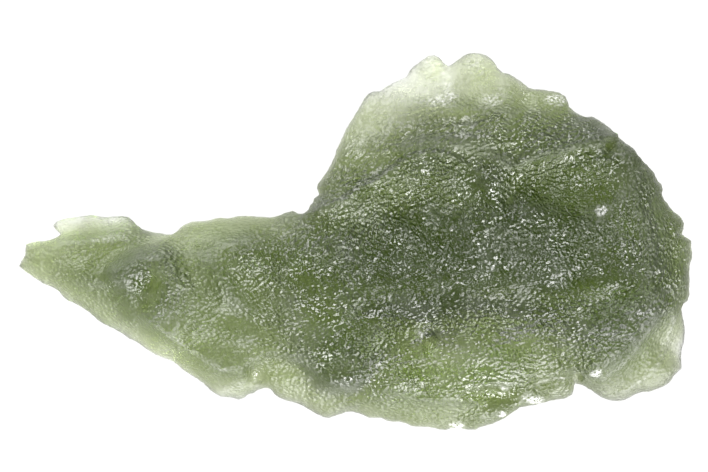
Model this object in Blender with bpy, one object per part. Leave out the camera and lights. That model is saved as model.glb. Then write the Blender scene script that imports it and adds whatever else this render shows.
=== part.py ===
"""Moldavite: one flake of sculpted natural glass, lying on a small flat spot of its belly.

The stone is drawn in plan, seen from above. Its upper face is surveyed by spot heights, and its
lower face lies below that by a surveyed thickness.
Plan positions are (across, down) in plan units, 675 of which make the stone's length.
Heights are in millimetres above the flat spot that the stone rests on.
"""

import math
import random

import bmesh
import bpy
import numpy as np
from mathutils import Vector, noise
from mathutils.geometry import delaunay_2d_cdt

# Driving dimensions, in metres
LENGTH = 0.032
MILLIMETRE = 0.001

# The plan's own scale: the outline runs from 17.5 to 692.5 across
PLAN_LENGTH = 675.0
PLAN_CENTRE = (355.0, 242.0)
UNIT = LENGTH / MILLIMETRE / PLAN_LENGTH  # one plan unit in millimetres

# Mesh of the two faces, in millimetres
RIM_SPACING = 0.29
UPPER_SPACING = 0.362
LOWER_SPACING = 0.56
LEAST_SPACING = 0.12
EDGE_ROUNDING = 0.42
EDGE_RING = 0.15
LEAST_THICKNESS = 0.35
SEED = 15

# The outline in plan, clockwise from the tip of the narrow end
OUTLINE = {
    "tip": [
        (17.5, 266), (20, 261), (24.5, 252), (23, 246), (27, 243), (40, 241), (50, 239.5), (59, 234),
    ],
    "upper flange": [
        (52, 228), (51, 223.5), (58, 220), (78, 216.5), (90, 215), (101, 217), (125, 216.5), (132, 221),
        (140, 228.5), (152, 232), (173, 234),
    ],
    "back of the arm": [
        (179, 228), (188, 222.5), (210, 220), (217, 217.5), (228, 218), (240, 215.8), (258, 216.5),
        (272, 217), (283, 213.5), (293, 211), (300, 214), (306, 212.5),
    ],
    "shoulder": [
        (310, 206), (313, 200), (318.5, 195), (317.5, 190), (315.5, 187), (320, 181), (328, 169),
        (333, 160), (336, 150), (341, 140), (347, 127), (359, 108), (366, 96), (371, 92.5), (379, 92),
        (390, 85), (407, 76.5),
    ],
    "crown": [
        (410, 70), (420, 62), (430, 55.5), (437, 57), (447, 67), (455, 62), (464, 55.5), (475, 53.5),
        (485, 55.5), (491, 60), (501, 73), (507, 74), (520, 82), (529, 89), (542, 90.5), (558, 93.5),
        (565, 98), (568, 107),
    ],
    "toothed rim": [
        (581, 116.5), (590, 117), (597, 120.5), (610, 130), (613.5, 134), (611.5, 137), (616, 136.5),
        (621, 142), (631, 148), (640, 160), (650, 170), (656, 181), (662, 187), (660, 193), (671, 210),
        (680, 218), (683.5, 226), (680, 234), (690, 240), (690, 248), (692.5, 256), (689.5, 261),
        (688.5, 285), (687, 301), (681, 305),
    ],
    "corner flange": [
        (682, 316), (685, 328), (684, 342), (681, 353), (681, 370), (675, 374), (669, 383), (650, 392),
        (640, 392.5), (628, 398.5), (617, 401.5), (600, 397), (590, 390), (574, 383.5),
    ],
    "front edge": [
        (573, 391), (570, 396.5), (545, 402), (530, 406), (519, 408.5), (500, 421), (480, 427.5),
        (474, 430.5), (453, 428), (446, 430.5), (436, 429), (425, 427), (412, 427), (402, 422.5),
        (388, 421.5), (380, 418), (370, 418.5), (361, 414.5), (350, 411.5), (340, 414), (327, 418.5),
        (310, 411), (300, 405), (280, 399), (274, 395), (269, 388.5), (260, 389),
    ],
    "foot of the arm": [
        (254, 393), (245, 396), (241, 400.5), (232, 398), (218, 396.5), (200, 382.5), (180, 370),
        (172, 362.5), (160, 358.5), (141, 347.5), (136, 342), (130, 341), (119, 332.5), (100, 323.5),
        (90, 315), (73, 303.5), (64, 300), (57, 292), (50, 287.5), (40, 283), (30, 276), (22, 270.5),
    ],
}

# Spot heights of the upper face: (across, down, height)
UPPER_SPOTS = [
    # narrow tip and the thin flange behind it
    (20, 266, 2.9), (28, 250, 3.0), (45, 262, 3.5), (60, 285, 3.1), (75, 262, 4.3), (95, 255, 4.5),
    (100, 285, 4.1), (60, 225, 2.3), (90, 222, 2.3), (125, 224, 2.6), (150, 238, 3.3), (105, 236, 2.9),
    # arm: its back, its crown and the long slope towards the basin
    (180, 232, 3.7), (210, 224, 3.7), (260, 221, 3.9), (295, 216, 4.3), (160, 262, 5.0), (200, 256, 5.1),
    (250, 246, 5.5), (180, 295, 5.2), (215, 290, 5.2), (250, 285, 5.2), (290, 265, 5.4), (210, 325, 4.8),
    (260, 330, 4.9), (180, 325, 4.6), (300, 315, 4.9), (300, 345, 4.9),
    # bevel along the foot of the arm
    (55, 290, 2.6), (100, 321, 2.6), (130, 336, 2.6), (170, 358, 2.6), (215, 388, 2.9), (245, 392, 3.1),
    (130, 310, 3.9), (170, 338, 4.0), (215, 362, 4.1),
    # crest of the shoulder, and the slope outside it
    (306, 216, 4.6), (330, 208, 5.1), (370, 190, 5.4), (410, 165, 5.7), (450, 158, 5.8), (500, 158, 5.9),
    (550, 150, 5.9), (600, 140, 5.8), (325, 190, 4.7), (345, 150, 4.6), (380, 150, 5.3), (420, 130, 5.5),
    (470, 128, 5.7), (530, 122, 5.7), (585, 126, 5.1), (370, 100, 4.1), (400, 100, 4.6), (430, 66, 3.9),
    (430, 95, 4.8), (475, 62, 3.9), (480, 95, 4.9), (530, 96, 4.7), (562, 104, 4.5), (610, 132, 4.9),
    # basin: two scallops under the crest, parted by a rib, and the valley that drains them
    (360, 225, 5.3), (400, 205, 5.2), (440, 200, 5.2), (475, 210, 5.3), (490, 180, 5.7), (498, 212, 5.5),
    (545, 188, 5.3), (590, 185, 5.3), (400, 245, 5.1), (455, 245, 5.1), (515, 240, 5.3), (560, 225, 5.4),
    (600, 240, 5.3), (330, 255, 5.3), (350, 283, 5.0), (400, 286, 5.0), (470, 286, 5.0), (530, 284, 5.2),
    (590, 282, 5.2), (620, 262, 5.4),
    # right rim
    (630, 165, 5.7), (640, 205, 5.7), (645, 250, 5.7), (652, 290, 5.5), (655, 185, 5.2), (678, 225, 4.9),
    (686, 255, 4.7), (684, 290, 4.6), (634, 287, 5.5),
    # front slope, its brow and the fall to the front edge
    (400, 320, 5.1), (480, 318, 5.2), (560, 315, 5.3), (620, 315, 5.6), (370, 350, 5.4), (440, 355, 5.3),
    (510, 352, 5.3), (580, 348, 5.4), (630, 335, 5.4), (400, 385, 5.0), (460, 380, 5.1), (520, 378, 4.8),
    (560, 375, 4.6), (310, 380, 4.2), (350, 392, 4.3), (285, 385, 3.8), (330, 408, 3.6), (400, 412, 3.9),
    (450, 420, 3.9), (500, 412, 4.0), (545, 396, 4.0),
    # corner flange
    (610, 375, 4.3), (640, 360, 3.8), (665, 350, 3.5), (674, 365, 3.3), (650, 382, 3.3), (615, 394, 3.4),
    (680, 325, 3.4),
]

# Thickness under the same plan, read from how much light each place lets through
THICKNESS_SPOTS = [
    # narrow tip and the thin flange behind it
    (20, 266, 1.4), (28, 250, 1.6), (45, 262, 1.9), (60, 285, 1.8), (75, 260, 3.2), (95, 255, 3.4),
    (100, 285, 2.8), (60, 225, 0.8), (90, 222, 0.8), (75, 232, 0.9), (110, 233, 1.1),
    (125, 224, 0.9), (150, 238, 1.6), (120, 250, 3.1),
    # bevel along the foot of the arm
    (55, 290, 1.3), (100, 321, 1.1), (130, 336, 1.3), (170, 358, 1.7), (215, 388, 1.2), (245, 392, 1.2),
    (100, 303, 2.0), (130, 315, 2.2), (170, 342, 2.0), (215, 366, 2.4),
    # arm
    (180, 235, 2.4), (230, 222, 2.2), (295, 216, 2.3), (160, 265, 3.2), (200, 258, 2.9), (250, 246, 3.1),
    (148, 290, 4.2), (180, 295, 3.3), (215, 290, 3.2), (250, 285, 3.4), (290, 262, 4.0), (210, 325, 2.9),
    (260, 330, 2.8), (180, 325, 2.9), (300, 315, 3.0), (300, 345, 3.1),
    # shoulder and crown
    (310, 208, 2.5), (330, 208, 3.0), (370, 190, 3.3), (410, 165, 3.5), (450, 158, 3.6), (500, 158, 3.8),
    (360, 175, 2.8),
    (550, 150, 3.7), (600, 140, 3.4), (325, 190, 2.5), (345, 150, 2.1), (380, 150, 2.5), (420, 130, 2.6),
    (470, 128, 2.8), (530, 122, 2.7), (585, 126, 2.4), (370, 100, 0.8), (400, 100, 0.7), (430, 66, 0.7),
    (430, 92, 0.6), (475, 62, 0.9), (480, 92, 1.1), (530, 96, 1.9), (562, 104, 1.8), (610, 132, 2.1),
    # basin
    (360, 225, 3.9), (400, 205, 4.0), (440, 200, 4.4), (475, 210, 4.5), (490, 180, 4.4), (498, 212, 4.5),
    (545, 188, 4.5), (590, 185, 4.5), (400, 245, 5.1), (455, 245, 5.2), (515, 240, 5.0), (560, 225, 4.9),
    (600, 240, 4.6), (330, 255, 4.5), (350, 283, 4.5), (400, 286, 4.9), (470, 286, 5.0), (530, 284, 5.2),
    (590, 282, 5.3), (620, 262, 4.8),
    # right rim
    (630, 165, 3.8), (640, 205, 3.9), (645, 250, 4.0), (652, 290, 4.0), (655, 185, 3.4), (678, 225, 3.2),
    (686, 255, 3.0), (684, 290, 2.9), (634, 287, 5.0),
    # front slope, brow and front edge
    (400, 320, 3.4), (480, 318, 3.5), (560, 315, 3.5), (620, 315, 3.9), (370, 350, 3.3), (440, 355, 2.7),
    (510, 352, 2.7), (580, 348, 3.3), (630, 335, 3.9), (345, 368, 4.2), (400, 385, 2.9), (460, 380, 2.8),
    (520, 378, 2.9), (560, 375, 2.6), (310, 380, 2.3), (350, 390, 2.4), (285, 385, 2.1), (330, 408, 1.8),
    (400, 412, 2.4), (450, 420, 2.2), (500, 412, 2.6), (545, 396, 1.7), (490, 393, 3.2),
    # corner flange
    (610, 375, 2.6), (640, 360, 2.4), (665, 350, 1.3), (674, 365, 1.1), (650, 382, 1.4), (615, 394, 1.2),
    (680, 325, 1.4),
]

# The flat spot under the middle of the weight: centre, half width and half height in plan
REST_SPOT = ((432, 265), 52, 32)
REST_RISE = 0.6  # how clear of the resting plane the belly stays, far from the spot, in millimetres
REST_BLEND = 0.9  # half widths over which the belly comes down to the spot

# Crests stand up along a line: path, height and half width in millimetres
CRESTS = {
    "basin lip": (
        [(298, 221), (322, 212), (348, 201), (374, 188), (394, 172), (414, 162), (442, 158)],
        0.2, 0.5,
    ),
    "basin rib": ([(481, 164), (487, 178), (492, 194), (497, 210), (506, 224), (522, 236)], 0.35, 0.3),
    "shoulder arc": ([(400, 152), (425, 144), (455, 142), (490, 146), (520, 150)], 0.15, 0.4),
    "right rim": (
        [(616, 146), (632, 168), (640, 200), (642, 235), (648, 270), (658, 300), (650, 325)],
        0.15, 0.6,
    ),
    "flow lip": (
        [(205, 256), (217, 266), (227, 282), (240, 301), (256, 311), (285, 316), (315, 318)],
        0.35, 0.4,
    ),
    "arm brow": ([(112, 266), (125, 263), (146, 256), (166, 252), (188, 250)], 0.3, 0.4),
    "foot brow": ([(137, 305), (152, 318), (172, 337), (195, 352), (222, 368), (246, 376)], 0.3, 0.4),
    "tip brow": ([(45, 244), (70, 245), (92, 241), (122, 239), (134, 247)], 0.28, 0.3),
    "front brow": ([(385, 392), (420, 398), (455, 400), (478, 388), (500, 384), (525, 390)], 0.25, 0.35),
    "flange rib": ([(594, 388), (618, 378), (640, 362), (652, 344)], 0.2, 0.45),
    "valley rim": ([(455, 300), (500, 304), (550, 306), (600, 303), (630, 298)], 0.2, 0.45),
}

# Ledges step down to the right of a line, walked as written: path, drop, sharpness and reach
LEDGES = {
    "end of the arm": (
        [(172, 238), (158, 246), (140, 252), (119, 259), (109, 268), (112, 279), (124, 287), (136, 291)],
        1.1, 0.2, 1.6,
    ),
    "north shelf": ([(520, 166), (548, 157), (575, 151), (598, 143), (612, 138)], 0.6, 0.18, 1.2),
    "front scoop": (
        [(262, 352), (282, 355), (300, 361), (316, 373), (330, 383), (343, 388), (356, 385), (372, 377)],
        1.0, 0.2, 1.3,
    ),
    "corner break": ([(660, 342), (670, 336), (676, 320), (684, 303)], 0.8, 0.2, 1.2),
    "corner brow": (
        [(577, 381), (592, 377), (610, 367), (626, 355), (638, 340), (651, 323), (658, 306)],
        0.7, 0.3, 1.4,
    ),
    "crown break": (
        [(560, 112), (520, 116), (480, 112), (455, 108), (436, 107), (418, 101), (398, 107)],
        0.35, 0.3, 1.2,
    ),
    "foot chip": ([(211, 379), (234, 374), (249, 382), (263, 386)], 0.6, 0.2, 0.9),
}

# Flow grooves run side by side, sharp at the bottom: path, depth and half width
GROOVES = {
    "valley": (
        [(300, 278), (345, 281), (400, 284), (455, 280), (505, 285), (560, 290), (628, 293)],
        0.45, 0.5,
    ),
    "front 1": ([(395, 306), (450, 303), (520, 309), (590, 308), (632, 312)], 0.16, 0.22),
    "front 2": ([(352, 316), (420, 318), (470, 315), (540, 320), (600, 324)], 0.2, 0.25),
    "front 3": ([(330, 330), (385, 329), (440, 328), (500, 331), (560, 333)], 0.16, 0.22),
    "front 4": ([(360, 342), (400, 343), (450, 350), (520, 343), (600, 346)], 0.2, 0.25),
    "front 5": ([(372, 362), (420, 366), (470, 362), (530, 364), (575, 362)], 0.22, 0.25),
    "front 6": ([(400, 404), (440, 410), (480, 404), (525, 396)], 0.25, 0.25),
    "arm 1": ([(196, 240), (236, 232), (270, 231), (300, 226)], 0.18, 0.25),
    "arm 2": ([(186, 268), (204, 288), (232, 312), (262, 326), (300, 331)], 0.3, 0.3),
    "arm 3": ([(160, 322), (190, 334), (225, 343), (262, 347), (298, 350)], 0.25, 0.3),
    "bevel 1": ([(80, 294), (112, 302), (136, 320), (160, 338), (190, 356), (222, 374)], 0.2, 0.22),
    "bevel 2": ([(62, 288), (95, 305), (125, 328), (160, 350), (195, 372)], 0.18, 0.22),
    "crest 1": ([(350, 186), (382, 166), (420, 150), (462, 148), (505, 153), (560, 140)], 0.2, 0.25),
    "crest 2": ([(340, 172), (372, 152), (410, 136), (460, 134), (520, 136), (575, 132)], 0.2, 0.25),
    "crest 3": ([(352, 150), (385, 132), (415, 120), (470, 121), (530, 124)], 0.16, 0.22),
    "shoulder": ([(345, 132), (362, 124), (382, 120), (402, 118)], 0.2, 0.2),
    "crown 1": ([(447, 68), (446, 84), (452, 99)], 0.3, 0.25),
    "crown 2": ([(494, 76), (500, 92), (512, 104)], 0.25, 0.25),
    "rim 1": ([(626, 152), (646, 175), (658, 205), (666, 240), (668, 280)], 0.25, 0.3),
    "east 1": ([(536, 182), (560, 204), (600, 222), (626, 238)], 0.2, 0.3),
    "east 2": ([(520, 222), (560, 240), (600, 254), (628, 262)], 0.2, 0.3),
    "west 1": ([(360, 205), (392, 214), (430, 234), (470, 256)], 0.2, 0.3),
    "west 2": ([(340, 226), (380, 240), (420, 258), (470, 270)], 0.2, 0.3),
    "flange 1": ([(668, 312), (664, 334), (648, 352), (626, 370), (600, 384)], 0.2, 0.25),
}

# Hollows: centre, half width, half height, turn in degrees, depth in millimetres
HOLLOWS = {
    "arm hollow": ((147, 292), 11, 22, 22, 0.5),
    "tip hollow": ((98, 258), 34, 12, 4, 0.6),
    "foot pit": ((256, 374), 9, 11, 20, 1.0),
    "basin end": ((598, 281), 40, 10, 0, 0.4),
    "open bubble": ((427, 338), 8, 8, 0, 0.45),
    "front lens": ((495, 393), 28, 8, 6, 0.5),
    "shade of the rib": ((512, 194), 8, 26, 25, 0.35),
    "west scallop": ((432, 205), 44, 26, 18, 0.4),
    "east scallop": ((565, 192), 42, 24, 10, 0.4),
    "upper dip": ((525, 104), 9, 15, 20, 0.4),
    "shoulder dip": ((455, 118), 24, 8, 0, 0.35),
    "chip bed": ((600, 210), 7, 9, -30, 0.35),
    "pocket": ((605, 147), 9, 6, 20, 0.5),
    "front notch": ((575, 379), 6, 8, 0, 0.7),
}

# Scallops etched by ground water: size along and across the grain, depth in millimetres, grain in degrees
UPPER_SCALLOPS = [(3.0, 1.7, 0.45, 8.0), (1.7, 1.0, 0.3, 8.0)]
LOWER_SCALLOPS = [(3.8, 2.6, 0.45, 35.0), (1.9, 1.4, 0.2, 50.0)]

GLASS_COLOUR = (0.19, 0.25, 0.10, 1.0)


def to_millimetres(plan):
    """Plan positions as millimetres, across to the right and up the plan."""
    plan = np.asarray(plan, float).reshape(-1, 2)
    return np.column_stack([plan[:, 0] - PLAN_CENTRE[0], PLAN_CENTRE[1] - plan[:, 1]]) * UNIT


def smooth_loop(points, spacing):
    """A closed centripetal Catmull-Rom curve through the points, read off at even spacing."""
    read = []
    count = len(points)
    for i in range(count):
        p0, p1, p2, p3 = (points[(i + k - 1) % count] for k in range(4))
        knots = [0.0]
        for a, b in ((p0, p1), (p1, p2), (p2, p3)):
            knots.append(knots[-1] + math.sqrt(np.linalg.norm(b - a)))
        t0, t1, t2, t3 = knots
        for t in np.linspace(t1, t2, 12, endpoint=False):
            a1 = (t1 - t) / (t1 - t0) * p0 + (t - t0) / (t1 - t0) * p1
            a2 = (t2 - t) / (t2 - t1) * p1 + (t - t1) / (t2 - t1) * p2
            a3 = (t3 - t) / (t3 - t2) * p2 + (t - t2) / (t3 - t2) * p3
            b1 = (t2 - t) / (t2 - t0) * a1 + (t - t0) / (t2 - t0) * a2
            b2 = (t3 - t) / (t3 - t1) * a2 + (t - t1) / (t3 - t1) * a3
            read.append((t2 - t) / (t2 - t1) * b1 + (t - t1) / (t2 - t1) * b2)
    return evenly(np.array(read + read[:1]), spacing)[:-1]


def evenly(line, spacing):
    """Points at even spacing along a polyline, both ends kept."""
    steps = np.linalg.norm(np.diff(line, axis=0), axis=1)
    along = np.concatenate([[0.0], np.cumsum(steps)])
    count = max(2, round(along[-1] / spacing) + 1)
    wanted = np.linspace(0.0, along[-1], count)
    return np.column_stack([np.interp(wanted, along, line[:, k]) for k in range(2)])


def nearest_on_line(points, line):
    """Of each point: distance to the line, side (+1 on its left) and how far along it, 0 to 1."""
    best = np.full(len(points), np.inf)
    side = np.zeros(len(points))
    along = np.zeros(len(points))
    steps = np.linalg.norm(np.diff(line, axis=0), axis=1)
    starts = np.concatenate([[0.0], np.cumsum(steps)])
    for a, b, start, step in zip(line[:-1], line[1:], starts, steps):
        run = b - a
        t = np.clip(((points - a) @ run) / (step * step), 0.0, 1.0)
        away = points - a - t[:, None] * run
        distance = np.linalg.norm(away, axis=1)
        closer = distance < best
        best[closer] = distance[closer]
        cross = run[0] * away[:, 1] - run[1] * away[:, 0]
        side[closer] = np.sign(cross[closer])
        along[closer] = (start + t[closer] * step) / starts[-1]
    return best, side, along


def faded_ends(along):
    """1 along most of a line, falling smoothly to 0 at its two ends."""
    return np.clip(np.minimum(along, 1.0 - along) / 0.15, 0.0, 1.0) ** 0.7


def surveyed(points, spots):
    """Height of the smoothest sheet through the spot heights, a thin-plate spline."""
    spots = np.asarray(spots, float)
    known = to_millimetres(spots[:, :2])
    count = len(known)

    def bending(apart):
        return np.where(apart > 0, apart**2 * np.log(np.maximum(apart, 1e-9)), 0.0)

    between = np.linalg.norm(known[:, None] - known[None], axis=2)
    plane = np.column_stack([np.ones(count), known])
    system = np.block([[bending(between), plane], [plane.T, np.zeros((3, 3))]])
    weights = np.linalg.solve(system, np.concatenate([spots[:, 2], np.zeros(3)]))
    apart = np.linalg.norm(points[:, None] - known[None], axis=2)
    slope = np.column_stack([np.ones(len(points)), points]) @ weights[count:]
    return bending(apart) @ weights[:count] + slope


def crest_height(points, path, height, half_width):
    """Positive along a crest, and with its sign turned along a groove."""
    distance, _, along = nearest_on_line(points, to_millimetres(path))
    return height * np.exp(-distance / half_width) * faded_ends(along)


def ledge_height(points, path, drop, sharpness, reach):
    distance, side, along = nearest_on_line(points, to_millimetres(path))
    return 0.5 * drop * side * np.tanh(distance / sharpness) * np.exp(-distance / reach) * faded_ends(along)


def hollow_depth(points, centre, half_width, half_height, turn, depth):
    away = points - to_millimetres(centre)
    c, s = math.cos(math.radians(turn)), math.sin(math.radians(turn))
    across = (away @ (c, -s)) / (half_width * UNIT)
    down = (away @ (s, c)) / (half_height * UNIT)
    return depth * np.exp(-((across**2 + down**2) ** 1.5))


def scallop_height(points, size_along, size_across, depth, grain, layer):
    """Shallow cups side by side with cusps between them, drawn out along the grain."""
    c, s = math.cos(math.radians(grain)), math.sin(math.radians(grain))
    heights = []
    for x, y in points:
        cell = Vector(((c * x + s * y) / size_along, (c * y - s * x) / size_across, layer))
        heights.append(min(noise.voronoi(cell)[0][0], 1.0) ** 1.5 - 0.35)
    return depth * np.array(heights)


def upper_face(points):
    """The survey, and on it every crest, groove, ledge, hollow and scallop."""
    height = surveyed(points, UPPER_SPOTS)
    for crest in CRESTS.values():
        height += crest_height(points, *crest)
    for groove in GROOVES.values():
        height -= crest_height(points, *groove)
    for ledge in LEDGES.values():
        height += ledge_height(points, *ledge)
    for hollow in HOLLOWS.values():
        height -= hollow_depth(points, *hollow)
    for layer, scallops in enumerate(UPPER_SCALLOPS):
        height += scallop_height(points, *scallops, layer * 7.3)
    return height


def lower_face(points):
    """As far below the upper survey as the stone is thick, with a flat spot to rest on."""
    centre, half_width, half_height = REST_SPOT
    away = (points - to_millimetres(centre)) / (np.array([half_width, half_height]) * UNIT)
    beyond = np.maximum(np.linalg.norm(away, axis=1) - 1.0, 0.0)
    height = surveyed(points, UPPER_SPOTS) - surveyed(points, THICKNESS_SPOTS)
    for layer, scallops in enumerate(LOWER_SCALLOPS):
        height -= scallop_height(points, *scallops, 40 + layer * 7.3)
    blend = np.clip(beyond / REST_BLEND, 0.0, 1.0)
    height *= blend * blend * (3.0 - 2.0 * blend)
    return np.maximum(height, REST_RISE * beyond / (1.0 + beyond))


def plan_points(outline, spacing):
    """The outline, a ring just inside it and a jittered triangular lattice over the rest."""
    rng = random.Random(SEED)
    points = [tuple(p) for p in outline]
    tangent = np.roll(outline, -1, axis=0) - np.roll(outline, 1, axis=0)
    inward = np.column_stack([tangent[:, 1], -tangent[:, 0]])
    inward /= np.linalg.norm(inward, axis=1)[:, None]
    ring = outline + inward * EDGE_RING
    closed = np.vstack([outline, outline[:1]])
    clear = nearest_on_line(ring, closed)[0] > EDGE_RING * 0.8
    points += [tuple(p) for p in ring[clear]]

    low, high = outline.min(axis=0), outline.max(axis=0)
    lattice = []
    row_height = spacing * math.sqrt(3) / 2
    for row in range(int((high[1] - low[1]) / row_height) + 1):
        shift = spacing / 2 * (row % 2)
        for column in range(int((high[0] - low[0]) / spacing) + 1):
            x = low[0] + shift + (column + rng.uniform(-0.16, 0.16)) * spacing
            y = low[1] + row * row_height + rng.uniform(-0.16, 0.16) * spacing
            lattice.append((x, y))
    lattice = np.array(lattice)
    distance, side, _ = nearest_on_line(lattice, closed)
    inside = (side < 0) & (distance > EDGE_RING + LEAST_SPACING)
    points += [tuple(p) for p in lattice[inside]]
    return np.array(points)


def triangulated(outline, spacing):
    """Plan points and triangles that fill the outline; the outline's own points come first."""
    points = plan_points(outline, spacing)
    count = len(outline)
    rim = [(i, (i + 1) % count) for i in range(count)]
    result = delaunay_2d_cdt([Vector(p) for p in points], rim, [], 1, 1e-6)
    return np.array([tuple(corner) for corner in result[0]]), [tuple(t) for t in result[2]]


def both_faces(points, from_edge):
    """Heights of the upper and the lower face, drawn together to a round edge at the rim."""
    upper, lower = upper_face(points), lower_face(points)
    lower = np.minimum(lower, upper - LEAST_THICKNESS)
    middle = (upper + lower) / 2
    inset = np.clip(from_edge / EDGE_ROUNDING, 0.0, 1.0)
    fullness = np.sqrt(1.0 - (1.0 - inset) ** 2)
    return middle + (upper - middle) * fullness, np.maximum(middle + (lower - middle) * fullness, 0.0)


def make_stone():
    """One closed mesh: the upper and the lower face share the vertices of the rim."""
    drawn = to_millimetres([p for stretch in OUTLINE.values() for p in stretch])
    outline = smooth_loop(drawn, RIM_SPACING)
    low, high = outline.min(axis=0), outline.max(axis=0)
    outline = (outline - (low + high) / 2) * (LENGTH / MILLIMETRE / (high[0] - low[0]))
    closed = np.vstack([outline, outline[:1]])
    rim_count = len(outline)

    shape = bmesh.new()
    rim = []
    for face, spacing in ((0, UPPER_SPACING), (1, LOWER_SPACING)):
        plan, triangles = triangulated(outline, spacing)
        heights = both_faces(plan, nearest_on_line(plan, closed)[0])[face]
        corners = [shape.verts.new((x, y, z)) for (x, y), z in zip(plan[rim_count:], heights[rim_count:])]
        if not rim:
            rim = [shape.verts.new((x, y, z)) for (x, y), z in zip(plan[:rim_count], heights[:rim_count])]
        corners = rim + corners
        for triangle in triangles:
            a, b, c = (corners[i] for i in triangle)
            shape.faces.new((a, b, c) if face == 0 else (c, b, a))
    bmesh.ops.scale(shape, vec=(MILLIMETRE,) * 3, verts=shape.verts)
    bmesh.ops.recalc_face_normals(shape, faces=shape.faces)
    mesh = bpy.data.meshes.new("moldavite")
    shape.to_mesh(mesh)
    shape.free()
    mesh.shade_smooth()
    return mesh


def glass_material():
    glass = bpy.data.materials.new("moldavite glass")
    glass.use_nodes = True
    surface = glass.node_tree.nodes["Principled BSDF"]
    surface.inputs["Base Color"].default_value = GLASS_COLOUR
    surface.inputs["Roughness"].default_value = 0.25
    surface.inputs["Metallic"].default_value = 0.0
    surface.inputs["IOR"].default_value = 1.49
    return glass


def main():
    for old in list(bpy.data.objects):
        bpy.data.objects.remove(old, do_unlink=True)
    stone = bpy.data.objects.new("moldavite", make_stone())
    stone.data.materials.append(glass_material())
    bpy.context.scene.collection.objects.link(stone)


main()
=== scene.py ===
import math

import bmesh
import bpy
import numpy as np
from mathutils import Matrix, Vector


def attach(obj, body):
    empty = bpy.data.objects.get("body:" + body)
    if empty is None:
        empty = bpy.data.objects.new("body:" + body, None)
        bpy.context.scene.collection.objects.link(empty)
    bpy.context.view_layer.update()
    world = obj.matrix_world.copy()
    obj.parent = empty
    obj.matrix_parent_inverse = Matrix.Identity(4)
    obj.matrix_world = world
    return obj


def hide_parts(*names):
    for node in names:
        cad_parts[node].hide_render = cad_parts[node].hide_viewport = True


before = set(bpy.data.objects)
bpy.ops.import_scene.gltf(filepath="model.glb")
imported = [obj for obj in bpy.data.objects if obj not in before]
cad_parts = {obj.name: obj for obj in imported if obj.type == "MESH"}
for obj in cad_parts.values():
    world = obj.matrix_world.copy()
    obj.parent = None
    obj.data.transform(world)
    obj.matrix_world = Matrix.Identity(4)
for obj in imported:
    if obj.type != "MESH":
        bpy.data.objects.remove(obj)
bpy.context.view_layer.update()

# One moldavite on a sheet of lit white acrylic, seen from straight above.
# Places on the stone are given in photograph pixels, across and down; the stone is 675 of them long.
mm = 0.001
stoneLength = 32.0 * mm
pixel = stoneLength / 675
stoneMiddle = (355.0, 242.0)
photoMiddle = (354.0, 236.0)
photoWidth = 708


def placed(points):
    # Photograph pixels to metres on the sheet
    points = np.asarray(points, float).reshape(-1, 2)
    return np.column_stack([points[:, 0] - stoneMiddle[0], stoneMiddle[1] - points[:, 1]]) * pixel


def linear(hexColour):
    channels = [int(hexColour[i : i + 2], 16) / 255 for i in (1, 3, 5)]
    return tuple(c / 12.92 if c <= 0.04045 else ((c + 0.055) / 1.055) ** 2.4 for c in channels) + (1.0,)


def addNode(tree, kind, inputs=None, **settings):
    # An input is a value, a socket, or a node whose first output is meant
    node = tree.nodes.new(kind)
    for name, value in settings.items():
        setattr(node, name, value)
    for socket, value in (inputs or {}).items():
        if isinstance(value, bpy.types.Node):
            value = value.outputs[0]
        if isinstance(value, bpy.types.NodeSocket):
            tree.links.new(value, node.inputs[socket])
        else:
            node.inputs[socket].default_value = value
    return node


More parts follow.
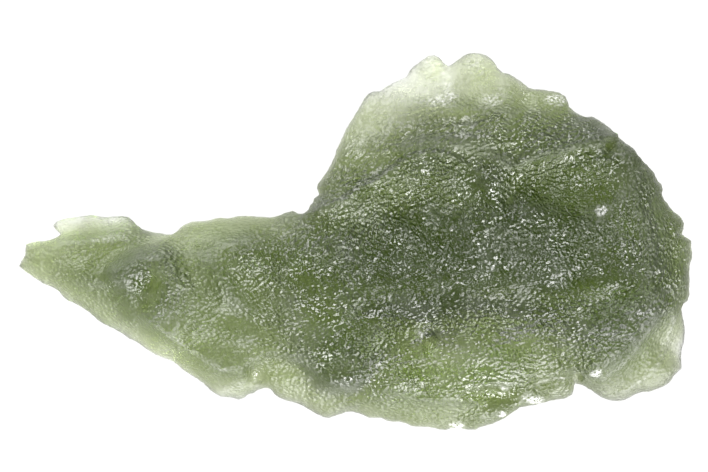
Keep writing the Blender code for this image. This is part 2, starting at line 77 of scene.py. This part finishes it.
# What the skin is like from place to place, in rows of
# (across, down, direction of the grain in degrees, bead strength, frosting)
surfaceNotes = [
    # Tip, lower edge of the arm and left flange
    (30, 258, -20, 0.3, 0.5), (60, 285, -35, 0.3, 0.5), (75, 255, -10, 0.5, 0.3),
    (100, 305, -33, 0.25, 0.55), (150, 340, -33, 0.25, 0.55), (200, 372, -35, 0.25, 0.55),
    (230, 390, -25, 0.1, 0.6), (60, 226, 0, 0.1, 0.7), (105, 226, -3, 0.1, 0.7),
    (150, 238, -15, 0.1, 0.3),
    # Arm
    (112, 270, 75, 0.35, 0.4), (130, 258, 20, 0.4, 0.35), (130, 300, -50, 0.4, 0.4),
    (150, 290, -60, 0.4, 0.15), (200, 230, 5, 0.2, 0.42), (250, 226, 5, 0.25, 0.42),
    (290, 222, 15, 0.35, 0.38), (180, 265, -15, 0.35, 0.45), (215, 290, -40, 0.45, 0.42),
    (245, 285, -50, 0.55, 0.35), (270, 260, -50, 0.8, 0.1), (300, 250, -52, 0.9, 0.0),
    (180, 310, -30, 0.35, 0.46), (225, 335, -20, 0.35, 0.46), (280, 300, -20, 0.6, 0.3),
    (290, 335, -5, 0.4, 0.35), (325, 290, 0, 0.3, 0.0),
    # Foot of the basin
    (345, 268, -30, 1.0, 0.0), (380, 270, -30, 1.0, 0.0), (415, 272, -25, 1.0, 0.0),
    (450, 274, -20, 1.0, 0.0), (485, 274, -15, 1.0, 0.0),
    # Shoulder and crown
    (330, 185, 50, 0.4, 0.3), (345, 150, 50, 0.35, 0.2), (370, 115, 45, 0.2, 0.4),
    (385, 160, 32, 0.5, 0.3), (430, 135, 12, 0.6, 0.2), (430, 80, 50, 0.1, 0.7),
    (480, 80, -30, 0.2, 0.6), (525, 100, -40, 0.3, 0.4), (480, 130, 5, 0.6, 0.2),
    (420, 103, 10, 0.3, 0.5), (540, 135, 3, 0.6, 0.2), (590, 130, -10, 0.5, 0.2),
    # Basin and rib
    (360, 200, 28, 0.9, 0.1), (410, 165, 22, 0.9, 0.1), (350, 235, -50, 1.0, 0.0),
    (400, 215, -50, 1.0, 0.0), (440, 195, -40, 1.0, 0.0), (455, 225, -45, 1.0, 0.1),
    (400, 260, -40, 0.9, 0.0), (460, 255, -35, 1.0, 0.0), (490, 190, -62, 0.5, 0.1),
    (505, 195, -65, 0.5, 0.0), (545, 175, 8, 0.9, 0.0), (590, 170, 5, 1.0, 0.0),
    (530, 215, -20, 0.6, 0.1), (570, 205, -10, 0.8, 0.1), (600, 225, -20, 0.9, 0.2),
    (520, 250, -20, 0.9, 0.3), (570, 250, -10, 1.0, 0.1), (615, 260, -5, 0.9, 0.1),
    # Deep pocket and right rim
    (590, 280, 0, 0.45, 0.1), (625, 283, -20, 0.45, 0.1), (632, 170, -65, 0.7, 0.3),
    (640, 205, -75, 0.7, 0.3), (655, 185, -55, 0.7, 0.3), (675, 230, -65, 0.6, 0.25),
    (650, 255, -85, 0.8, 0.3), (682, 280, -88, 0.6, 0.25), (655, 300, 80, 0.7, 0.3),
    # Valley
    (375, 288, 0, 0.2, 0.3), (420, 289, 0, 0.2, 0.3), (465, 290, 0, 0.2, 0.3),
    (510, 292, 0, 0.25, 0.25), (555, 292, 0, 0.4, 0.1), (560, 276, 0, 0.7, 0.0),
    # South slope
    (370, 310, 6, 0.6, 0.1), (430, 315, 6, 0.6, 0.1), (500, 315, 3, 0.7, 0.1),
    (560, 320, 5, 0.7, 0.1), (610, 315, 8, 0.7, 0.3), (380, 345, 5, 0.5, 0.2),
    (440, 350, 10, 0.4, 0.35), (510, 350, 8, 0.45, 0.35), (570, 350, 8, 0.8, 0.3),
    (620, 335, 40, 0.7, 0.4), (345, 370, -25, 0.6, 0.0), (420, 385, -5, 0.6, 0.2),
    (490, 392, 8, 0.3, 0.1), (545, 385, 15, 0.6, 0.3),
    # Front edge and lower right corner
    (300, 385, -25, 0.2, 0.4), (340, 403, -5, 0.2, 0.5), (420, 412, -5, 0.3, 0.5),
    (490, 412, 20, 0.4, 0.45), (660, 360, 55, 0.1, 0.7), (640, 378, 40, 0.1, 0.7),
    (605, 388, 15, 0.3, 0.5), (676, 330, 80, 0.1, 0.7),
]
noteReach = 13.0 * pixel  # beyond this a note gives way to its neighbours
farShare = 1e-9  # where no note is in reach, the nearest one decides


def noted(points):
    # Directions are averaged at twice their angle, so that 0 and 180 degrees agree
    notes = np.array(surfaceNotes, float)
    apart = np.linalg.norm(points[:, None] - placed(notes[:, :2])[None], axis=2)
    weight = np.exp(-0.5 * (apart / noteReach) ** 2) + farShare / (apart / noteReach) ** 2
    weight /= weight.sum(axis=1)[:, None]
    twice = np.radians(2 * notes[:, 2])
    angle = 0.5 * np.arctan2(weight @ np.sin(twice), weight @ np.cos(twice))
    return np.column_stack([np.cos(angle), np.sin(angle)]), weight @ notes[:, 3], weight @ notes[:, 4]


# Crests rubbed pale: path, half width in photograph pixels, height in millimetres, frosting
crests = {
    "basin lip": (
        [(306, 217), (320, 211), (345, 200), (370, 185), (396, 168), (410, 158), (428, 153),
         (448, 157), (466, 166)],
        3.4, 0.15, 0.15,
    ),
    "outer lip": (
        [(404, 150), (425, 143), (450, 143), (480, 152), (505, 163)],
        6.0, 0.10, 0.42,
    ),
    "north lip": (
        [(508, 168), (527, 160), (545, 155), (562, 150), (590, 144), (612, 138)],
        4.0, 0.14, 0.40,
    ),
    "corner curl": (
        [(596, 150), (607, 146), (620, 152), (631, 163), (632, 179), (622, 194), (609, 205)],
        5.5, 0.13, 0.45,
    ),
    "right band": (
        [(630, 190), (634, 214), (643, 236), (645, 268), (641, 284), (650, 300)],
        6.0, 0.07, 0.30,
    ),
    "right outer band": (
        [(641, 168), (652, 196), (660, 228), (664, 262)],
        3.9, 0.08, 0.30,
    ),
    "rib": (
        [(480, 168), (484, 188), (488, 206), (497, 224), (512, 236)],
        3.2, 0.06, 0.15,
    ),
    "basin arc": (
        [(452, 252), (430, 250), (411, 240), (404, 226), (412, 213), (430, 207)],
        3.2, 0.04, 0.38,
    ),
    "tip brow": (
        [(62, 244), (85, 243), (104, 240), (122, 237), (132, 243)],
        4.0, 0.06, 0.48,
    ),
    "arm brow": (
        [(112, 270), (118, 261), (132, 254), (150, 250), (166, 243), (176, 236)],
        4.5, 0.08, 0.30,
    ),
    "arm crest": (
        [(150, 262), (175, 258), (200, 254), (214, 262), (226, 282), (240, 300), (256, 311)],
        3.9, 0.05, 0.12,
    ),
    "foot brow": (
        [(92, 276), (112, 286), (128, 296), (138, 308), (156, 322)],
        5.0, 0.06, 0.30,
    ),
    "foot brow lower": (
        [(160, 326), (182, 342), (206, 358), (226, 369)],
        3.2, 0.05, 0.45,
    ),
    "scoop lip": (
        [(262, 350), (284, 354), (302, 360), (318, 372), (334, 384), (350, 388), (362, 377)],
        3.2, 0.08, 0.38,
    ),
    "front brow": (
        [(385, 388), (410, 396), (440, 400), (462, 404), (486, 398)],
        3.2, 0.06, 0.45,
    ),
    "white line": (
        [(536, 381), (548, 378), (562, 377)],
        2.1, 0.04, 0.90,
    ),
    "corner ridge": (
        [(600, 378), (616, 366), (630, 350), (642, 332), (652, 314)],
        3.9, 0.08, 0.36,
    ),
    "corner edge": (
        [(622, 391), (642, 378), (656, 364), (665, 344), (671, 316)],
        3.2, 0.05, 0.30,
    ),
    "crown break": (
        [(400, 104), (418, 103), (436, 107), (458, 110), (484, 112)],
        3.9, 0.05, 0.45,
    ),
    "crown curl": (
        [(500, 92), (512, 100), (518, 112), (508, 122)],
        3.9, 0.06, 0.52,
    ),
}

# Chips, clouds and bubbles: across, down, half width, half height in photograph pixels,
# turn in degrees, height in millimetres, frosting
spots = {
    "basin chip": (599, 211, 8, 7, 20, 0.18, 2.0),
    "front chip": (532, 398, 11, 5, -10, 0.08, 2.0),
    "low chip": (457, 425, 8, 4, 0, 0.06, 1.8),
    "small chip": (501, 413, 5, 4, 0, 0.06, 1.6),
    "brow chip": (503, 388, 6, 4, -10, 0.06, 1.6),
    "notch chip": (593, 371, 6, 5, 30, 0.08, 1.3),
    "crown chip": (554, 102, 13, 7, 0, 0.06, 1.3),
    "crown cloud": (442, 101, 17, 6, 10, 0.05, 0.8),
    "crown veil": (402, 86, 22, 9, -35, 0.03, 0.1),
    "crown streak": (446, 82, 6, 16, 10, 0.03, 0.6),
    "crown grey": (490, 103, 13, 8, 0, 0.05, 0.9),
    "crown wedge": (519, 95, 7, 13, -15, -0.16, -0.6),
    "foot lobe": (232, 388, 17, 7, 20, 0.04, 0.4),
    "left knob": (431, 66, 9, 9, 0, 0.08, 0.6),
    "right knob": (475, 66, 11, 10, 0, 0.08, 0.6),
    "bubble": (428, 339, 6, 6, 0, -0.2, -0.4),
    "bubble rim": (420, 335, 4, 7, 15, 0.05, 1.3),
    "green eye": (428, 349, 5, 4, 0, -0.12, -0.4),
    "dark nick": (576, 378, 4, 5, 0, -0.3, 0.0),
    "green spot": (256, 374, 6, 9, 30, -0.03, -0.5),
    "dark hollow": (150, 292, 14, 11, 50, -0.1, -0.4),
    "deep nick": (606, 147, 5, 4, 0, -0.2, -0.2),
    "olive lens": (490, 392, 24, 6, 5, -0.1, -0.5),
}


def pathDistance(points, path):
    best = np.full(len(points), np.inf)
    for start, end in zip(path, path[1:]):
        run = end - start
        share = np.clip((points - start) @ run / (run @ run), 0.0, 1.0)
        best = np.minimum(best, np.linalg.norm(points - start - share[:, None] * run, axis=1))
    return best


def marked(points):
    # Height and frosting that the crests and spots add
    height = np.zeros(len(points))
    frosting = np.zeros(len(points))
    for path, halfWidth, rise, frost in crests.values():
        near = np.exp(-((pathDistance(points, placed(path)) / (halfWidth * pixel)) ** 2))
        height += rise * mm * near
        frosting = np.maximum(frosting, frost * near)
    for across, down, halfWidth, halfHeight, turn, rise, frost in spots.values():
        away = (points - placed((across, down))) / pixel
        c, s = math.cos(math.radians(turn)), math.sin(math.radians(turn))
        reach = np.hypot((away @ (c, s)) / halfWidth, (away @ (-s, c)) / halfHeight)
        near = np.exp(-(reach ** 3))
        height += rise * mm * near
        frosting += frost * near
    return height, frosting


# The etched relief: beads in rows along the grain, and fine furrows between them
etching = {
    "Rounding": 4,  # passes that smooth the facets away
    "Wrinkle Spacing": 0.42 * mm,
    "Wrinkle Width": 0.16,  # a furrow lies where the noise is this near to its middle value
    "Wrinkle Depth": 0.035 * mm,
    "Bead Spacing": 0.21 * mm,
    "Bead Depth": 0.045 * mm,
    "Least Beads": 0.25,  # bead strength that is left on the smoothest skin
    "Seed": 4.0,
}
meshCuts = 3
mergeDistance = 0.001 * mm
wrinkleComb = (-0.8, -0.4, 0.0, 0.4, 0.8)  # places along the grain, in spacings, that are averaged
beadComb = (-0.25, 0.0, 0.25)
mostFrosting = 2.0


def combedNoise(tree, position, grain, spacing, seed, comb):
    # Noise averaged at a few places along the grain is drawn out along it, with no shear
    fineness = addNode(tree, "ShaderNodeMath", {0: 1.0, 1: spacing}, operation="DIVIDE")
    total = None
    for tooth in comb:
        shift = addNode(tree, "ShaderNodeMath", {0: spacing, 1: tooth}, operation="MULTIPLY")
        moved = addNode(tree, "ShaderNodeVectorMath", {0: grain, 3: shift}, operation="SCALE")
        moved = addNode(tree, "ShaderNodeVectorMath", {0: moved, 1: position}, operation="ADD")
        noise = addNode(
            tree, "ShaderNodeTexNoise",
            {"Vector": moved, "W": seed, "Scale": fineness, "Detail": 1.0},
            noise_dimensions="4D",
        )
        if total is None:
            total = noise
        else:
            total = addNode(tree, "ShaderNodeMath", {0: total, 1: noise}, operation="ADD")
    return addNode(tree, "ShaderNodeMath", {0: total, 1: 1.0 / len(comb)}, operation="MULTIPLY")


def etchTree():
    tree = bpy.data.node_groups.new("etchedSurface", "GeometryNodeTree")
    tree.interface.new_socket("Geometry", in_out="INPUT", socket_type="NodeSocketGeometry")
    for name, value in etching.items():
        kind = "NodeSocketInt" if isinstance(value, int) else "NodeSocketFloat"
        tree.interface.new_socket(name, in_out="INPUT", socket_type=kind)
    tree.interface.new_socket("Material", in_out="INPUT", socket_type="NodeSocketMaterial")
    tree.interface.new_socket("Geometry", in_out="OUTPUT", socket_type="NodeSocketGeometry")
    given = tree.nodes.new("NodeGroupInput").outputs
    position = tree.nodes.new("GeometryNodeInputPosition")
    normal = tree.nodes.new("GeometryNodeInputNormal")
    inland = addNode(tree, "GeometryNodeInputNamedAttribute", {"Name": "inland"}, data_type="FLOAT")
    grain = addNode(tree, "GeometryNodeInputNamedAttribute", {"Name": "grain"}, data_type="FLOAT_VECTOR")
    beadiness = addNode(tree, "GeometryNodeInputNamedAttribute", {"Name": "beadiness"}, data_type="FLOAT")
    marks = addNode(tree, "GeometryNodeInputNamedAttribute", {"Name": "marks"}, data_type="FLOAT")

    # The facets are smoothed, but the outline keeps its teeth
    rounded = addNode(
        tree, "GeometryNodeBlurAttribute",
        {"Value": position, "Iterations": given["Rounding"], "Weight": inland},
        data_type="FLOAT_VECTOR",
    )
    fine = addNode(tree, "GeometryNodeSetPosition", {"Geometry": given["Geometry"], "Position": rounded})

    # Furrows lie where the combed noise crosses its middle value, and their shoulders stand a little proud
    wrinkle = combedNoise(tree, position, grain, given["Wrinkle Spacing"], given["Seed"], wrinkleComb)
    wrinkle = addNode(tree, "ShaderNodeMath", {0: wrinkle, 1: 0.5}, operation="SUBTRACT")
    wrinkle = addNode(tree, "ShaderNodeMath", {0: wrinkle}, operation="ABSOLUTE")
    wrinkle = addNode(
        tree, "ShaderNodeMapRange",
        {"Value": wrinkle, "From Max": given["Wrinkle Width"], "To Min": -1.0, "To Max": 0.3},
    )
    wrinkle = addNode(tree, "ShaderNodeMath", {0: wrinkle, 1: given["Wrinkle Depth"]}, operation="MULTIPLY")
    wrinkle = addNode(tree, "ShaderNodeMath", {0: wrinkle, 1: beadiness}, operation="MULTIPLY")

    # Beads stand up where finer noise is high, and nearly all of it lies between 0.3 and 0.7
    bead = combedNoise(tree, position, grain, given["Bead Spacing"], given["Seed"], beadComb)
    bead = addNode(
        tree, "ShaderNodeMapRange",
        {"Value": bead, "From Min": 0.3, "From Max": 0.7, "To Min": -1.0, "To Max": 1.0},
    )
    bead = addNode(tree, "ShaderNodeMath", {0: bead, 1: given["Bead Depth"]}, operation="MULTIPLY")
    strength = addNode(
        tree, "ShaderNodeMapRange", {"Value": beadiness, "To Min": given["Least Beads"], "To Max": 1.0}
    )
    relief = addNode(tree, "ShaderNodeMath", {0: bead, 1: strength, 2: wrinkle}, operation="MULTIPLY_ADD")
    relief = addNode(tree, "ShaderNodeMath", {0: relief, 1: marks}, operation="ADD")
    offset = addNode(tree, "ShaderNodeVectorMath", {0: normal, 3: relief}, operation="SCALE")
    moved = addNode(tree, "GeometryNodeSetPosition", {"Geometry": fine, "Offset": offset})

    # Nothing sinks below the sheet that the stone lies on; across and along, this leaves it as it is
    floor = (-1.0, -1.0, 0.0)
    above = addNode(tree, "ShaderNodeVectorMath", {0: position, 1: floor}, operation="MAXIMUM")
    moved = addNode(tree, "GeometryNodeSetPosition", {"Geometry": moved, "Position": above})
    moved = addNode(tree, "GeometryNodeSetShadeSmooth", {"Geometry": moved})
    solid = addNode(tree, "GeometryNodeRealizeInstances", {"Geometry": moved})
    solid = addNode(tree, "GeometryNodeSetMaterial", {"Geometry": solid, "Material": given["Material"]})
    addNode(tree, "NodeGroupOutput", {0: solid})
    return tree


def finerStone():
    # A merged copy of the CAD node, each of its triangles cut in sixteen
    shape = bmesh.new()
    shape.from_mesh(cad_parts["moldavite"].data)
    bmesh.ops.remove_doubles(shape, verts=shape.verts, dist=mergeDistance)
    bmesh.ops.subdivide_edges(shape, edges=shape.edges, cuts=meshCuts, use_grid_fill=True)
    mesh = bpy.data.meshes.new("moldaviteStone")
    shape.to_mesh(mesh)
    shape.free()
    mesh.materials.clear()
    print("stone: CAD facets cut finer,", len(mesh.polygons), "faces")
    return mesh


def describeSkin(mesh):
    # Writes on every corner of the mesh what its skin is like, for the tree and the material
    corners = np.empty(len(mesh.vertices) * 3)
    mesh.vertices.foreach_get("co", corners)
    corners = corners.reshape(-1, 3)
    direction, beadiness, frosting = noted(corners[:, :2])
    marks, rubbed = marked(corners[:, :2])
    frosting = np.clip(frosting + rubbed, 0.0, mostFrosting)
    direction = np.column_stack([direction, np.zeros(len(direction))])

    facesUp = np.zeros(len(corners))
    facesDown = np.zeros(len(corners))
    for face in mesh.polygons:
        for corner in face.vertices:
            if face.normal.z > 0:
                facesUp[corner] = 1.0
            else:
                facesDown[corner] = 1.0
    inland = 1.0 - facesUp * facesDown

    mesh.attributes.new("grain", "FLOAT_VECTOR", "POINT").data.foreach_set("vector", direction.ravel())
    values = {
        "beadiness": beadiness,
        "inland": inland,
        "underside": 1.0 - facesUp,
        "marks": marks * facesUp * inland,
        "frosting": frosting * facesUp,
    }
    for name, value in values.items():
        mesh.attributes.new(name, "FLOAT", "POINT").data.foreach_set("value", value)
    print("stone: skin noted at", len(corners), "corners")


def makeStone(glass):
    mesh = finerStone()
    describeSkin(mesh)
    draft = bpy.data.objects.new("moldaviteDraft", mesh)
    bpy.context.scene.collection.objects.link(draft)
    tree = etchTree()
    modifier = draft.modifiers.new("etching", "NODES")
    modifier.node_group = tree
    sockets = {item.name: item.identifier for item in tree.interface.items_tree if item.in_out == "INPUT"}
    for name, value in etching.items():
        modifier[sockets[name]] = value
    modifier[sockets["Material"]] = glass
    evaluated = draft.evaluated_get(bpy.context.evaluated_depsgraph_get())
    finished = bpy.data.meshes.new_from_object(evaluated)
    bpy.data.objects.remove(draft, do_unlink=True)
    finished.name = "moldaviteStone"
    stone = bpy.data.objects.new("moldaviteStone", finished)
    bpy.context.scene.collection.objects.link(stone)
    print("stone: etched,", len(finished.polygons), "faces")
    return stone


# Moldavite: silica glass that was quenched in the air and then etched by ground water.
# Its iron gives a deep olive green where it is thick and almost none at a thin edge, and the etched
# skin is frosted in some places and glints as if wet in others.
skin = {
    "ior": 1.49,
    "colour": "#A2B500",  # the light that is left after a long way through the glass
    "absorption": 950.0,
    "pitSpacing": 0.182 * mm,  # cups that the acid left, finer than the mesh can carry
    "pitDepth": 0.235 * mm,
    "pitSmoothness": 0.4,
    "swellSpacing": 0.12 * mm,
    "swellDepth": 0.06 * mm,
    "swellReach": 0.05 * mm,  # how far the swells are drawn out along the grain
    "leastPits": 0.3,  # strength that is left on the smoothest skin
    "patchSpacing": 0.9 * mm,
    "patchNoise": (0.38, 0.62),
    "patchStrength": (0.5, 1.2),
    "wetRoughness": 0.28,
    "frostedRoughness": 0.6,
    "frostingRange": (0.1, 0.5),
    "bruisedRange": (0.7, 2.0),
    "crumbSpacing": 0.14 * mm,
    "crumbNoise": (0.38, 0.68),
    "crumbWhite": 1.3,
    "cloudSpacing": 1.1 * mm,
    "cloudNoise": (0.42, 0.68),
    "cloudBloom": 0.05,
}


def moldaviteGlass():
    material = bpy.data.materials.new("etchedMoldaviteGlass")
    material.use_nodes = True
    tree = material.node_tree
    surface = tree.nodes["Principled BSDF"]
    surface.inputs["Base Color"].default_value = (1.0, 1.0, 1.0, 1.0)
    surface.inputs["Transmission Weight"].default_value = 1.0
    surface.inputs["IOR"].default_value = skin["ior"]
    surface.inputs["Sheen Roughness"].default_value = 1.0
    place = addNode(tree, "ShaderNodeTexCoord").outputs["Object"]
    grain = addNode(tree, "ShaderNodeAttribute", attribute_name="grain").outputs["Vector"]
    beadiness = addNode(tree, "ShaderNodeAttribute", attribute_name="beadiness").outputs["Fac"]
    frosting = addNode(tree, "ShaderNodeAttribute", attribute_name="frosting").outputs["Fac"]
    underside = addNode(tree, "ShaderNodeAttribute", attribute_name="underside").outputs["Fac"]

    # The acid bit in patches, so the pits come and go every millimetre or two
    patches = addNode(
        tree, "ShaderNodeTexNoise",
        {"Vector": place, "Scale": 1 / skin["patchSpacing"], "Detail": 3.0, "Roughness": 0.6},
    )
    low, high = skin["patchNoise"]
    weak, strong = skin["patchStrength"]
    patches = addNode(
        tree, "ShaderNodeMapRange",
        {"Value": patches, "From Min": low, "From Max": high, "To Min": weak, "To Max": strong},
    )
    strength = addNode(
        tree, "ShaderNodeMath", {0: beadiness, 1: 1.0 - skin["leastPits"], 2: skin["leastPits"]},
        operation="MULTIPLY_ADD",
    )
    strength = addNode(tree, "ShaderNodeMath", {0: strength, 1: patches}, operation="MULTIPLY")
    pits = addNode(
        tree, "ShaderNodeTexVoronoi",
        {
            "Vector": place, "Scale": 1 / skin["pitSpacing"],
            "Smoothness": skin["pitSmoothness"], "Randomness": 1.0,
        },
        feature="SMOOTH_F1",
    )
    pitted = addNode(
        tree, "ShaderNodeBump", {"Height": pits, "Distance": skin["pitDepth"], "Strength": strength}
    )

    # Fine swells run along the grain, over the pits
    swells = None
    for side in (-1, 0, 1):
        shift = side * skin["swellReach"]
        moved = addNode(tree, "ShaderNodeVectorMath", {0: grain, 3: shift}, operation="SCALE")
        moved = addNode(tree, "ShaderNodeVectorMath", {0: moved, 1: place}, operation="ADD")
        noise = addNode(
            tree, "ShaderNodeTexNoise",
            {"Vector": moved, "Scale": 1 / skin["swellSpacing"], "Detail": 0.0},
        )
        if swells is None:
            swells = noise
        else:
            swells = addNode(tree, "ShaderNodeMath", {0: swells, 1: noise}, operation="ADD")
    swollen = addNode(
        tree, "ShaderNodeBump",
        {"Height": swells, "Distance": skin["swellDepth"], "Strength": strength, "Normal": pitted},
    )
    tree.links.new(swollen.outputs[0], surface.inputs["Normal"])

    # Frosted skin scatters the light, and the underside is frosted all over
    low, high = skin["frostingRange"]
    wet, frosted = skin["wetRoughness"], skin["frostedRoughness"]
    roughness = addNode(
        tree, "ShaderNodeMapRange",
        {"Value": frosting, "From Min": low, "From Max": high, "To Min": wet, "To Max": frosted},
    )
    roughness = addNode(
        tree, "ShaderNodeMix", {"Factor": underside, "A": roughness, "B": frosted}, data_type="FLOAT"
    )
    tree.links.new(roughness.outputs[0], surface.inputs["Roughness"])

    # Bruised glass is full of tiny cracks, in threads and crumbs
    crumbs = addNode(
        tree, "ShaderNodeTexNoise",
        {"Vector": place, "Scale": 1 / skin["crumbSpacing"], "Detail": 2.0},
    )
    low, high = skin["crumbNoise"]
    crumbs = addNode(
        tree, "ShaderNodeMapRange",
        {"Value": crumbs, "From Min": low, "From Max": high, "To Max": skin["crumbWhite"]},
    )
    low, high = skin["bruisedRange"]
    bruise = addNode(tree, "ShaderNodeMapRange", {"Value": frosting, "From Min": low, "From Max": high})
    bruise = addNode(tree, "ShaderNodeMath", {0: bruise, 1: crumbs}, operation="MULTIPLY")

    # A thin bloom lies on the skin in clouds, a millimetre or so across
    clouds = addNode(
        tree, "ShaderNodeTexNoise",
        {"Vector": place, "Scale": 1 / skin["cloudSpacing"], "Detail": 4.0, "Roughness": 0.6},
    )
    low, high = skin["cloudNoise"]
    clouds = addNode(
        tree, "ShaderNodeMapRange",
        {"Value": clouds, "From Min": low, "From Max": high, "To Max": skin["cloudBloom"]},
    )
    bruise = addNode(tree, "ShaderNodeMath", {0: bruise, 1: clouds}, operation="ADD")
    tree.links.new(bruise.outputs[0], surface.inputs["Sheen Weight"])

    body = addNode(
        tree, "ShaderNodeVolumeAbsorption",
        {"Color": linear(skin["colour"]), "Density": skin["absorption"]},
    )
    tree.links.new(body.outputs[0], tree.nodes["Material Output"].inputs["Volume"])
    print("glass:", material.name)
    return material


# The room: a lit sheet, white sweeps all round it, and two soft lamps low over it
room = {
    "sheetHalf": 0.4,
    "sheetGap": 0.02 * mm,  # the stone lies just above the sheet
    "sheetGlow": 0.98,
    "sheetColour": "#303030",
    "sheetRoughness": 0.6,
    "sweepHeights": (0.15, 0.6),
    "sweepLight": (0.9, 0.12),
    "background": 0.9,
}
lamps = {
    # name: (toward x, y, z), distance, width, height, watts
    "frontSoftbox": ((0.3, -1.0, 0.46), 0.30, 0.24, 0.20, 3.8),
    "backSoftbox": ((-0.5, 1.0, 0.54), 0.30, 0.24, 0.20, 2.4),
}


def litAcrylic():
    # White acrylic lit from behind: it glows evenly, and its face hardly adds to that
    material = bpy.data.materials.new("litWhiteAcrylic")
    material.use_nodes = True
    surface = material.node_tree.nodes["Principled BSDF"]
    surface.inputs["Base Color"].default_value = linear(room["sheetColour"])
    surface.inputs["Roughness"].default_value = room["sheetRoughness"]
    surface.inputs["Emission Color"].default_value = (1.0, 1.0, 1.0, 1.0)
    surface.inputs["Emission Strength"].default_value = room["sheetGlow"]
    return material


def makeSheet():
    half, low = room["sheetHalf"], -room["sheetGap"]
    corners = [(-half, -half, low), (half, -half, low), (half, half, low), (-half, half, low)]
    mesh = bpy.data.meshes.new("litSheet")
    mesh.from_pydata(corners, [], [(0, 1, 2, 3)])
    mesh.materials.append(litAcrylic())
    sheet = bpy.data.objects.new("litSheet", mesh)
    bpy.context.scene.collection.objects.link(sheet)
    print("room: sheet laid")


def lightRoom():
    world = bpy.data.worlds.new("room")
    bpy.context.scene.world = world
    world.use_nodes = True
    tree = world.node_tree
    background = tree.nodes["Background"]
    background.inputs["Color"].default_value = (1.0, 1.0, 1.0, 1.0)
    # White sweeps stand all round the sheet, and it is dim above them, where the camera is
    way = addNode(tree, "ShaderNodeTexCoord").outputs["Generated"]
    up = addNode(tree, "ShaderNodeSeparateXYZ", {0: way}).outputs["Z"]
    low, high = room["sweepHeights"]
    bright, dim = room["sweepLight"]
    sweep = addNode(
        tree, "ShaderNodeMapRange",
        {"Value": up, "From Min": low, "From Max": high, "To Min": bright, "To Max": dim},
    )
    seen = addNode(tree, "ShaderNodeLightPath").outputs["Is Camera Ray"]
    strength = addNode(
        tree, "ShaderNodeMix", {"Factor": seen, "A": sweep, "B": room["background"]}, data_type="FLOAT"
    )
    tree.links.new(strength.outputs[0], background.inputs["Strength"])

    for name, (toward, distance, width, height, watts) in lamps.items():
        lamp = bpy.data.lights.new(name, "AREA")
        lamp.shape = "RECTANGLE"
        lamp.size = width
        lamp.size_y = height
        lamp.energy = watts
        holder = bpy.data.objects.new(name, lamp)
        bpy.context.scene.collection.objects.link(holder)
        away = Vector(toward).normalized()
        holder.location = away * distance
        holder.rotation_euler = away.to_track_quat("Z", "Y").to_euler()
        holder.visible_camera = False
    print("room: lit by", len(lamps), "lamps")


# The camera looks straight down, and the photograph's width is what it sees at the rim's height
view = {
    "lens": 180,
    "sensor": 36,
    "nearest": 0.005,
    "farthest": 5,
    "rimHeight": 3.0 * mm,
}


def makeCamera():
    camera = bpy.data.cameras.new("camera")
    camera.lens = view["lens"]
    camera.sensor_width = view["sensor"]
    camera.clip_start = view["nearest"]
    camera.clip_end = view["farthest"]
    holder = bpy.data.objects.new("camera", camera)
    bpy.context.scene.collection.objects.link(holder)
    distance = photoWidth * pixel * view["lens"] / view["sensor"]
    (x, y), = placed(photoMiddle)
    holder.location = (x, y, view["rimHeight"] + distance)
    bpy.context.scene.camera = holder
    print("camera:", round(distance / mm), "mm above the rim")


stone = makeStone(moldaviteGlass())
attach(stone, "root")
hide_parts("moldavite")
makeSheet()
lightRoom()
makeCamera()

# Denoising takes the sparks off the glass, and a narrow filter keeps its grain sharp
bpy.context.scene.view_settings.view_transform = "Standard"
bpy.context.scene.cycles.use_denoising = True
bpy.context.scene.cycles.pixel_filter_width = 1.0
